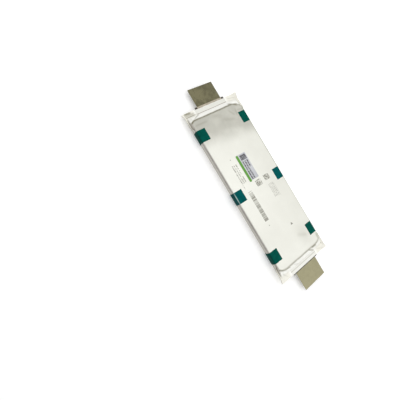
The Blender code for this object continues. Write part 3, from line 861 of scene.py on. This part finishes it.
def face_prints(finish):
    """How strongly each spot of the front face is printed, from 0 to 1: two square codes, a strip of
    bars that run together towards its far end, a faint line, two dots, a pointer, and small print."""
    codes = finish.largest(*[finish.patch(*square) for square in CODE_SQUARES])
    codes = finish.times(codes, finish.cells(1.05, 0.9, 0.66))
    run_together = finish.ramp(finish.x, 9 * MM, 16 * MM, 0.0, 0.45)
    bars = finish.largest(finish.cells(0.62, 100.0, 0.52), run_together)
    bars = finish.times(finish.patch(*BAR_STRIP), bars, 0.9)
    line = finish.times(finish.patch(*FAINT_LINE), 0.25)
    dots = finish.times(finish.largest(*[finish.patch(*dot) for dot in DOTS]), 0.75)
    widening = finish.times(finish.less(finish.x, POINTER[0] * MM), 0.60)
    pointer = finish.math("LESS_THAN", finish.off(finish.y, 13.6 * MM), widening)
    pointer = finish.times(pointer, finish.patch(*POINTER))
    blocks = [finish.times(text_rows(finish, *block), darkness) for *block, darkness in PRINT_BLOCKS]
    return finish.largest(codes, bars, line, dots, pointer, *blocks)


class LaminateFinish(Finish):
    """Satin aluminium laminate, worked out as layers of colour, many of them painted light and shade. The
    flow map gives each spot's place before the corners were drawn round, so the layers keep to the
    shoulders, creases and seals."""

    def __init__(self, name, pouch):
        super().__init__(name, Metallic=0.18, Roughness=0.42)
        self.pouch = pouch
        flow = self.node("ShaderNodeSeparateXYZ")
        self.feed(flow.inputs[0], self.node("ShaderNodeUVMap", uv_map="flow").outputs[0])
        self.along, self.across = flow.outputs[0], flow.outputs[1]
        self.distance, self.beside = self.off(self.along), self.off(self.across)
        wander = self.times(self.less(self.noise(14 * MM, 2.0), 0.5), 1.6 * MM)
        self.bent = self.total(self.distance, wander)
        self.negative = self.math("LESS_THAN", self.along, 0.0)
        self.positive = self.less(1.0, self.negative)
        self.film = across_of("positive_tab_film_front")[1]
        self.over_film = self.ramp(self.beside, self.film + 2.1 * MM, self.film + 0.6 * MM)
        self.wisps = self.noise(12 * MM, 2.0, 0.5, 0.6)
        clouds = self.noise(30 * MM, 2.0, 0.45, 0.4)
        clouds = self.total(self.times(clouds, 0.7), self.times(self.wisps, 0.3))
        self.mottle = self.ramp(clouds, 0.34, 0.66)

    def face_layers(self):
        """Painted reflection and shade as soft clouds: greyer towards the negative end, across the face and
        in a few wide patches.
        """
        slanted = self.less(self.along, self.times(self.y, 0.12))
        negative_end = self.ramp(slanted, -0.072, -0.116)
        ends = self.times(self.ramp(self.distance, 0.035, 0.080), self.ramp(self.y, 0.010, -0.030), 0.16)
        patch = self.times(self.bell(self.along, 0.108, 16 * MM), self.bell(self.y, 0.024, 13 * MM), 0.22)
        across_face = self.times(self.ramp(self.y, -0.045, 0.058), 0.36)
        cloud_shade_share = self.total(self.times(self.mottle, 0.08), negative_end, patch, across_face, ends)
        # Painted reflection and shade: these layers grey the face in clouds in place of the room reflected
        # in the laminate.
        return [
            (cloud_shade_share, self.pouch.cloud_shade_and_seal_grey),
            (self.times(negative_end, self.mottle, 0.42), self.pouch.darkest_cloud_shade),
        ]

    def end_layers(self):
        """Painted light on the end slopes, duller seals beside and over the films (a grey partly their own
        knurled tone and partly painted shade), painted shade in the seals' inner creases, and olive painted
        shade in the grooves and folds."""
        pouch = self.pouch
        # Painted light: the end slopes and seals are painted bright.
        slope = self.ramp(self.bent, pouch.shoulder + 1.2 * MM, pouch.shoulder + 2.6 * MM)
        bright = self.mix(self.times(self.wisps, 0.15), pouch.bright, pouch.silver)
        ear = self.ramp(self.beside, self.film + 1.1 * MM, self.film + 7.1 * MM)
        past_slope = self.ramp(self.distance, pouch.crease - 6.0 * MM, pouch.crease + 1.0 * MM)
        seal = self.ramp(self.distance, pouch.crease, pouch.crease + 0.7 * MM)
        uneven = self.total(0.30, self.times(self.wisps, 0.3))
        outer = self.ramp(self.distance, pouch.crease + 4.0 * MM, pouch.crease + 5.0 * MM)
        band = self.bell(self.distance, pouch.crease + 2.6 * MM, 1.5 * MM)
        # Painted shade in the seal's inner crease.
        crease = self.bell(self.bent, pouch.crease - 0.2 * MM, 0.55 * MM)
        stronger = self.total(0.35, self.times(self.negative, 0.65))
        # Painted shade in the shoulder grooves, stronger at the negative end, and in the folds.
        deep = self.times(self.bell(self.bent, pouch.shoulder + 1.0 * MM, 1.45 * MM), self.negative)
        soft = self.times(self.bell(self.bent, pouch.shoulder + 1.3 * MM, 1.9 * MM), self.positive, 0.72)
        folds = [self.fold_shade(self.along, self.across, fold) for fold in FOLDS + FACE_FOLDS]
        return [
            (slope, bright),
            (self.times(ear, past_slope), pouch.ear),
            # Seal greys: partly the seals' own knurled tone, partly painted shade.
            (self.times(seal, self.over_film, self.negative, uneven), pouch.cloud_shade_and_seal_grey),
            (self.times(outer, self.over_film, self.positive, 0.30), pouch.cloud_shade_and_seal_grey),
            (self.times(band, self.over_film, self.positive, 0.85), pouch.cloud_shade_and_seal_grey),
            (self.times(crease, self.over_film, stronger, 0.9), pouch.painted_crease_shade),
            (self.largest(self.total(deep, soft), *folds), pouch.groove),
        ]

    def edge_layers(self):
        """Painted shade on the drawn side walls, fainter on the far side, and along the open wings' tips; a
        painted shade line along the far edge and at its corner; and the opened side wings in the ears'
        colour.
        """
        pouch, half = self.pouch, self.pouch.half_width
        on_cup = self.ramp(self.distance, pouch.crease + 2.0 * MM, pouch.shoulder - 2.0 * MM)
        # Painted shade: the side walls are painted darker, much weaker on the far side.
        wall = self.ramp(self.off(self.y), half - 1.2 * MM, half - 0.2 * MM)
        fainter_far = self.less(1.0, self.times(self.math("GREATER_THAN", self.y, 0.0), 0.75))
        # Painted shade: a line along the far edge and a patch at its corner.
        far_edge_shade_line = self.ramp(self.y, half - 2.6 * MM, half - 1.5 * MM)
        fading = self.ramp(self.along, -0.010, 0.030, 0.95, 0.45)
        far_corner_shade = self.times(self.bell(self.along, 0.126, 7 * MM), self.ramp(self.y, 0.042, 0.046), 0.7)
        opened = self.ramp(self.beside, half + 0.5 * MM, half + 1.0 * MM)
        past_tapes = self.ramp(self.distance, tapes_end() + 2.05 * MM, tapes_end() + 7.55 * MM)
        # Painted shade: a grey outline along the open wings' tips.
        tip = self.ramp(self.beside, half + 3.0 * MM, half + 3.7 * MM)
        return [
            (self.times(wall, on_cup, fainter_far), pouch.wall),
            (self.times(self.largest(self.times(far_edge_shade_line, fading), far_corner_shade), on_cup), pouch.painted_far_edge_shade),
            (self.times(opened, past_tapes), pouch.ear),
            (self.times(tip, 0.6), pouch.wall),
        ]

    def print_layers(self):
        """The marks printed on the front face."""
        on_face = self.math("GREATER_THAN", self.z, middle_height() + 4.5 * MM)
        return [(self.times(face_prints(self), on_face, 0.85), self.pouch.ink)]


def laminate_finish(name, pouch, printed):
    """All layers of the laminate over its silver, with fine grain, wisps and, in the seals over the
    films, a knurled grid made of two crossed sine waves."""
    finish = LaminateFinish(name, pouch)
    layers = finish.face_layers() + finish.end_layers() + finish.edge_layers()
    if printed:
        layers += finish.print_layers()
    base = finish.layered(pouch.silver, layers)
    grain = finish.noise(0.8 * MM, 2.0, 0.6, 0.0, (1.0, 3.0, 1.0))
    roughness = finish.total(0.36, finish.times(finish.mottle, 0.08), finish.times(grain, 0.06))
    in_seal = finish.math("GREATER_THAN", finish.distance, pouch.crease + 0.6 * MM)
    wave_number = 2.0 * math.pi / (0.9 * MM)
    rising = finish.math("SINE", finish.times(finish.total(finish.x, finish.y), wave_number))
    falling = finish.math("SINE", finish.times(finish.less(finish.x, finish.y), wave_number))
    knurl = finish.times(rising, falling, in_seal, finish.over_film, 0.5)
    height = finish.total(finish.times(grain, 0.15), finish.times(finish.wisps, 0.5), knurl)
    return finish.paint(base, roughness).emboss(height, 0.05 * MM, 0.6).material


def lead_finish(name, tint, contrast, rings_at):
    """Metal strip with faint rolling streaks along its length, cloudy handling marks and, where asked,
    faint rings round a place where it was wiped."""
    finish = Finish(name, Metallic=0.70, Roughness=0.42)
    streaks = finish.noise(0.6 * MM, 2.0, 0.6, 0.0, (16.0, 1.0, 1.0))
    marks = finish.noise(9 * MM, 3.0, 0.5, 1.2)
    shade = finish.total(finish.times(streaks, 0.30), finish.times(marks, 0.70))
    if rings_at:
        off_x, off_y = finish.less(finish.x, rings_at[0]), finish.less(finish.y, rings_at[1])
        radius = finish.math("SQRT", finish.total(finish.times(off_x, off_x), finish.times(off_y, off_y)))
        radius = finish.total(radius, finish.times(marks, 3.0 * MM))
        rings = finish.math("SINE", finish.times(radius, 2.0 * math.pi / (2.6 * MM)))
        rings = finish.total(finish.times(rings, 0.5), 0.9)
        shade = finish.total(shade, finish.times(rings, finish.bell(radius, 0.0, 11.0 * MM), 0.26))
    shade = finish.ramp(shade, 0.36, 0.68)
    dark = tuple((1.0 - contrast) * c for c in tint)
    light = tuple(min(1.0, (1.0 + contrast) * c) for c in tint)
    finish.paint(finish.mix(shade, dark, light), finish.total(0.36, finish.times(marks, 0.16)))
    return finish.emboss(finish.total(streaks, finish.times(marks, 1.5)), 0.03 * MM, 0.5).material


def film_finish(name, tint, nub, centre, half_lead):
    """Polypropylene sealing film, melted and a little glossy, dark where it is thick beside the lead."""
    finish = Finish(name, Roughness=0.42)
    finish.feed(finish.shader.inputs["Specular IOR Level"], 0.3)
    streaks = finish.noise(1.6 * MM, 3.0, 0.6, 0.8, (1.0, 2.5, 1.0))
    darker = tuple(0.72 * c for c in tint)
    beside = finish.ramp(finish.off(finish.y, centre), half_lead, half_lead + 1.0 * MM)
    base = finish.layered(darker, ((finish.ramp(streaks, 0.35, 0.65), tint), (beside, nub)))
    finish.paint(base, finish.ramp(streaks, 0.2, 0.8, 0.34, 0.5))
    return finish.emboss(streaks, 0.05 * MM).material


def tape_finish(name, settings, half_width, fold_x, fold_y):
    """Polyester tape with a faint stretch grain, softly patchy and greener towards the ends, with painted
    shade where it goes down the side, and a painted highlight along one fold."""
    finish = Finish(name, Roughness=0.40)
    finish.feed(finish.shader.inputs["Specular IOR Level"], 0.02)
    grain = finish.noise(0.8 * MM, 3.0, 0.55, 0.2, (6.0, 1.0, 1.0))
    patches = finish.noise(7 * MM, 3.0, 0.5, 0.5)
    shade = finish.ramp(finish.total(finish.times(grain, 0.35), finish.times(patches, 0.65)), 0.35, 0.65)
    ends = finish.ramp(finish.off(finish.x), 0.02, 0.09)
    teal = finish.mix(ends, settings.teal, settings.teal_ends)
    # Painted shade down the tape's side.
    side = finish.ramp(finish.off(finish.y), half_width - 0.8 * MM, half_width)
    on_front = finish.math("GREATER_THAN", finish.z, middle_height())
    # Painted highlight along the middle near tape's fold, on the front only.
    highlight_on_fold = finish.times(finish.bell(finish.y, fold_y, 0.45 * MM), finish.bell(finish.x, fold_x, 10 * MM))
    layers = (
        (finish.times(shade, 0.24), (0.0, 0.0, 0.0)),
        (finish.times(side, 0.45), settings.side),
        (finish.times(highlight_on_fold, on_front), settings.painted_fold_highlight),
    )
    finish.paint(finish.layered(teal, layers), finish.ramp(patches, 0.3, 0.7, 0.34, 0.5))
    return finish.emboss(finish.total(grain, finish.times(patches, 1.5)), 0.04 * MM, 0.7).material


def label_finish(name, settings):
    """Printed paper: a code square, three rows of dashes, a cooler corner, and faint paper grain."""
    finish = Finish(name, Roughness=0.5)
    fibres = finish.noise(0.35 * MM, 3.0, 0.6)
    clouds = finish.noise(9 * MM, 2.0, 0.5)
    cool = tuple(0.80 * c for c in settings.paper)
    corner = finish.times(finish.ramp(finish.x, -0.032, -0.010), finish.ramp(finish.y, -0.006, 0.006))
    shade = finish.total(finish.times(corner, 0.7), finish.times(clouds, 0.12))
    code = finish.times(finish.patch(*LABEL_CODE), finish.cells(0.6, 0.6, 0.74))
    code_frame = finish.times(finish.patch(*LABEL_FRAME), 0.45)
    marks = finish.largest(code, code_frame, *[text_rows(finish, *row) for row in LABEL_ROWS])
    layers = ((shade, cool), (finish.times(marks, 0.92), settings.print_ink))
    finish.paint(finish.layered(settings.paper, layers), finish.ramp(clouds, 0.3, 0.7, 0.45, 0.58))
    return finish.emboss(fibres, 0.02 * MM, 0.5).material


def stripe_finish(name, green):
    """The sticker's coloured stripe: printed film with a slightly uneven ink layer."""
    finish = Finish(name, Roughness=0.45)
    uneven = finish.noise(2.5 * MM, 3.0, 0.6)
    light = tuple(min(1.0, 1.2 * c + 0.01) for c in green)
    finish.paint(finish.mix(finish.ramp(uneven, 0.35, 0.7), green, light))
    return finish.emboss(finish.noise(0.4 * MM), 0.02 * MM, 0.4).material


def coating_finish(name, dark, light, metallic):
    """Electrode coating: a fine speckled powder layer, slightly streaked by the roller."""
    finish = Finish(name, Metallic=metallic, Roughness=0.8)
    speckle = finish.noise(0.25 * MM, 3.0, 0.7)
    streaks = finish.noise(3 * MM, 2.0, 0.5, 0.0, (8.0, 1.0, 1.0))
    shade = finish.ramp(finish.total(finish.times(speckle, 0.6), finish.times(streaks, 0.4)), 0.38, 0.62)
    finish.paint(finish.mix(shade, dark, light), finish.ramp(speckle, 0.3, 0.7, 0.7, 0.9))
    return finish.emboss(speckle, 0.03 * MM, 0.6).material


def inner_film_finish(name, first, second, roughness):
    """A thin inner film, such as the separator or the tape that holds the stack."""
    finish = Finish(name, Roughness=roughness)
    haze = finish.noise(4 * MM, 3.0, 0.55, 0.4)
    fine = finish.noise(0.6 * MM, 2.0, 0.6, 0.0, (5.0, 1.0, 1.0))
    finish.paint(finish.mix(finish.ramp(haze, 0.3, 0.7), first, second))
    return finish.emboss(finish.total(fine, haze), 0.03 * MM, 0.5).material


# The inner pieces' finishes: the piece, what makes its finish, the finish's name, its two tints, and
# how metallic a coating or how rough a film is.
INNER_FINISHES = (
    ("anode_plate", coating_finish, "graphite_finish", (0.020, 0.020, 0.023), (0.060, 0.060, 0.065), 0.2),
    ("cathode_plate", coating_finish, "cathode_finish", (0.040, 0.036, 0.034), (0.100, 0.092, 0.088), 0.1),
    ("separator", inner_film_finish, "separator_finish", (0.86, 0.86, 0.85), (0.95, 0.95, 0.95), 0.65),
    ("stack_tape", inner_film_finish, "stack_tape_finish", (0.62, 0.42, 0.10), (0.80, 0.62, 0.25), 0.35),
    ("weld_tape", inner_film_finish, "weld_tape_finish", (0.55, 0.36, 0.08), (0.74, 0.55, 0.20), 0.35),
)


# ------------------------------------------------------------------ operators


def settings_of(context):
    """The settings that the panel shows."""
    return context.scene.pouch_cell


class CELL_OT_pouch(bpy.types.Operator):
    """Makes the front and the rear laminate with their slopes, seals and folded side wings"""

    bl_idname = "pouch_cell.pouch"
    bl_label = "Laminate pouch"

    def execute(self, context):
        pouch = settings_of(context).pouch
        shells = (("front_laminate", "pouch_front_shell", 1), ("rear_laminate", "pouch_rear_shell", -1))
        for name, node, towards in shells:
            points, flow = shell_points(pouch, towards)
            shell = sheet_object(name, points, pouch.laminate, 1.0, towards < 0, flow)
            finish = laminate_finish(name + "_finish", pouch, towards > 0)
            finish_piece(shell, finish, "laminate", CELL_BODY, node)
        return {"FINISHED"}


class CELL_OT_leads(bpy.types.Operator):
    """Makes the two leads, each one strip that is flat in the seal and gently rippled past its bend line"""

    bl_idname = "pouch_cell.leads"
    bl_label = "Leads"

    def execute(self, context):
        leads = settings_of(context).leads
        kinds = (
            ("negative", leads.nickel, "copper_lead", 0.24, (-0.1700, -0.0100)),
            ("positive", leads.aluminium, "aluminium_lead", 0.07, None),
        )
        for pole, tint, slot, contrast, rings_at in kinds:
            root, blade = pole + "_tab_root", pole + "_tab_blade"
            points, thickness, bend = lead_points(root, blade, leads)
            lead = sheet_object(pole + "_lead", points, thickness, 0.0, bend < 0)
            finish = lead_finish(pole + "_lead_finish", tuple(tint), contrast, rings_at)
            finish_piece(lead, finish, slot, None, root, blade)
            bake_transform(lead)
        return {"FINISHED"}


class CELL_OT_films(bpy.types.Operator):
    """Makes the sealing films, one on each side of each lead"""

    bl_idname = "pouch_cell.films"
    bl_label = "Sealing films"

    def execute(self, context):
        leads = settings_of(context).leads
        for pole, outer in (("negative", leads.film_light), ("positive", leads.film_dark)):
            centre, half_lead = across_of(pole + "_tab_root")
            finish = film_finish(pole + "_film_finish", tuple(outer), tuple(leads.nub), centre, half_lead)
            for face, towards in (("front", 1), ("rear", -1)):
                node = f"{pole}_tab_film_{face}"
                points, outwards = film_points(node, towards)
                film = sheet_object(f"{pole}_film_{face}", points, leads.film, 1.0, not outwards)
                finish_piece(film, finish, "sealing_film", CELL_BODY, node)
        return {"FINISHED"}


class CELL_OT_tapes(bpy.types.Operator):
    """Makes the six tapes that hold the folded side wings"""

    bl_idname = "pouch_cell.tapes"
    bl_label = "Side tapes"

    def execute(self, context):
        settings = settings_of(context)
        half_width = settings.pouch.half_width
        middle_x = tape_centres()[TAPE_PLACES.index("middle")]
        fold_y = 0.7 * MM - half_width
        finish = tape_finish("side_tape_finish", settings.tapes, half_width, middle_x, fold_y)
        for side in ("near", "far"):
            for place in TAPE_PLACES:
                node = f"side_tape_{side}_{place}"
                points, far = tape_points(node, settings.tapes, settings.pouch)
                tape = sheet_object(f"tape_{side}_{place}", points, settings.tapes.thickness, 1.0, far)
                finish_piece(tape, finish, "green_tape", CELL_BODY, node)
        return {"FINISHED"}


class CELL_OT_label(bpy.types.Operator):
    """Makes the label sticker and its coloured stripe"""

    bl_idname = "pouch_cell.label"
    bl_label = "Label"

    def execute(self, context):
        settings = settings_of(context)
        label = settings.label
        low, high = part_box("label_sticker")
        split = low.y + label.stripe
        paper_sides = (low.x, split - label.overlap), (high.x - label.overhang, high.y)
        points = sticker_points(*paper_sides, label.corner, label.lift, settings.pouch)
        paper = sheet_object("label", points, label.thickness)
        finish_piece(paper, label_finish("label_finish", label), "label_paper", CELL_BODY, "label_sticker")
        top = label.lift + label.thickness + label.stripe_gap
        points = sticker_points((low.x, low.y), (high.x, split), label.stripe_corner, top, settings.pouch)
        stripe = sheet_object("label_stripe", points, label.thickness / 2.0)
        finish = stripe_finish("label_stripe_finish", tuple(label.green))
        finish_piece(stripe, finish, "label_paper", CELL_BODY)
        return {"FINISHED"}


class CELL_OT_inner_parts(bpy.types.Operator):
    """Gives the electrode stack and its tapes their finishes"""

    bl_idname = "pouch_cell.inner_parts"
    bl_label = "Inner parts"

    def execute(self, context):
        finishes = {piece: make(*looks) for piece, make, *looks in INNER_FINISHES}
        for name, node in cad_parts.items():
            for key, finish in finishes.items():
                if key in name:
                    node.data.materials.clear()
                    node.data.materials.append(finish)
        return {"FINISHED"}


class CELL_OT_stage(bpy.types.Operator):
    """Makes the floor, the lights and the camera"""

    bl_idname = "pouch_cell.stage"
    bl_label = "Stage"

    def execute(self, context):
        stage = settings_of(context).stage
        scene = context.scene
        floor_mesh = bpy.data.meshes.new("floor")
        half, level = 2.0, CAD_BOX[0].z - stage.floor_gap
        corners = [(-half, -half, level), (half, -half, level), (half, half, level), (-half, half, level)]
        floor_mesh.from_pydata(corners, [], [(0, 1, 2, 3)])
        floor = bpy.data.objects.new("floor", floor_mesh)
        scene.collection.objects.link(floor)
        white = (1.0, 1.0, 1.0, 1.0)
        paper = Finish("floor_finish", Roughness=0.9, Emission_Color=white, Emission_Strength=stage.glow)
        greyer = tuple(0.97 * c for c in stage.floor)
        paper.paint(paper.mix(paper.noise(0.25, 2.0), stage.floor, greyer))
        floor_mesh.materials.append(paper.material)
        world = bpy.data.worlds.new("studio")
        world.use_nodes = True
        sky = world.node_tree.nodes["Background"]
        sky.inputs["Color"].default_value = white
        sky.inputs["Strength"].default_value = stage.sky
        scene.world = world
        for light in LIGHTS:
            self.area_light(*light)
        camera = bpy.data.cameras.new("camera")
        camera.lens = stage.lens
        camera.sensor_width = 36.0
        camera.shift_x = CAMERA_SHIFT
        holder = bpy.data.objects.new("camera", camera)
        holder.location = CAMERA_PLACE
        holder.rotation_euler = [math.radians(angle) for angle in CAMERA_ANGLES]
        scene.collection.objects.link(holder)
        scene.camera = holder
        scene.view_settings.view_transform = "Standard"
        return {"FINISHED"}

    def area_light(self, name, place, size, power):
        """A square soft light that looks at the middle of the cell."""
        light = bpy.data.lights.new(name, "AREA")
        light.size = size
        light.energy = power
        holder = bpy.data.objects.new(name, light)
        aim = (CAD_BOX[0] + CAD_BOX[1]) / 2.0 - Vector(place)
        holder.location = place
        holder.rotation_euler = aim.to_track_quat("-Z", "Y").to_euler()
        bpy.context.scene.collection.objects.link(holder)


class CELL_PT_panel(bpy.types.Panel):
    """The cell's pieces and settings in the 3D view's sidebar"""

    bl_label = "Pouch cell"
    bl_idname = "CELL_PT_panel"
    bl_space_type = "VIEW_3D"
    bl_region_type = "UI"
    bl_category = "Pouch cell"

    def draw(self, context):
        settings = settings_of(context)
        for operator in PIECE_OPERATORS:
            self.layout.operator(operator.bl_idname)
        for group_name in ("pouch", "leads", "tapes", "label", "stage"):
            box = self.layout.box()
            group = getattr(settings, group_name)
            for name in group.__annotations__:
                box.prop(group, name)


PIECE_OPERATORS = (
    CELL_OT_pouch,
    CELL_OT_leads,
    CELL_OT_films,
    CELL_OT_tapes,
    CELL_OT_label,
    CELL_OT_inner_parts,
    CELL_OT_stage,
)
CLASSES = (
    PouchSettings,
    LeadSettings,
    TapeSettings,
    LabelSettings,
    StageSettings,
    CellSettings,
    *PIECE_OPERATORS,
    CELL_PT_panel,
)


def register():
    """Registers the classes and the scene's settings."""
    for item in CLASSES:
        bpy.utils.register_class(item)
    bpy.types.Scene.pouch_cell = PointerProperty(type=CellSettings)


def unregister():
    """Removes them again."""
    del bpy.types.Scene.pouch_cell
    for item in reversed(CLASSES):
        bpy.utils.unregister_class(item)


def main():
    register()
    for operator in PIECE_OPERATORS:
        group, name = operator.bl_idname.split(".")
        getattr(getattr(bpy.ops, group), name)()


if __name__ == "__main__":
    main()
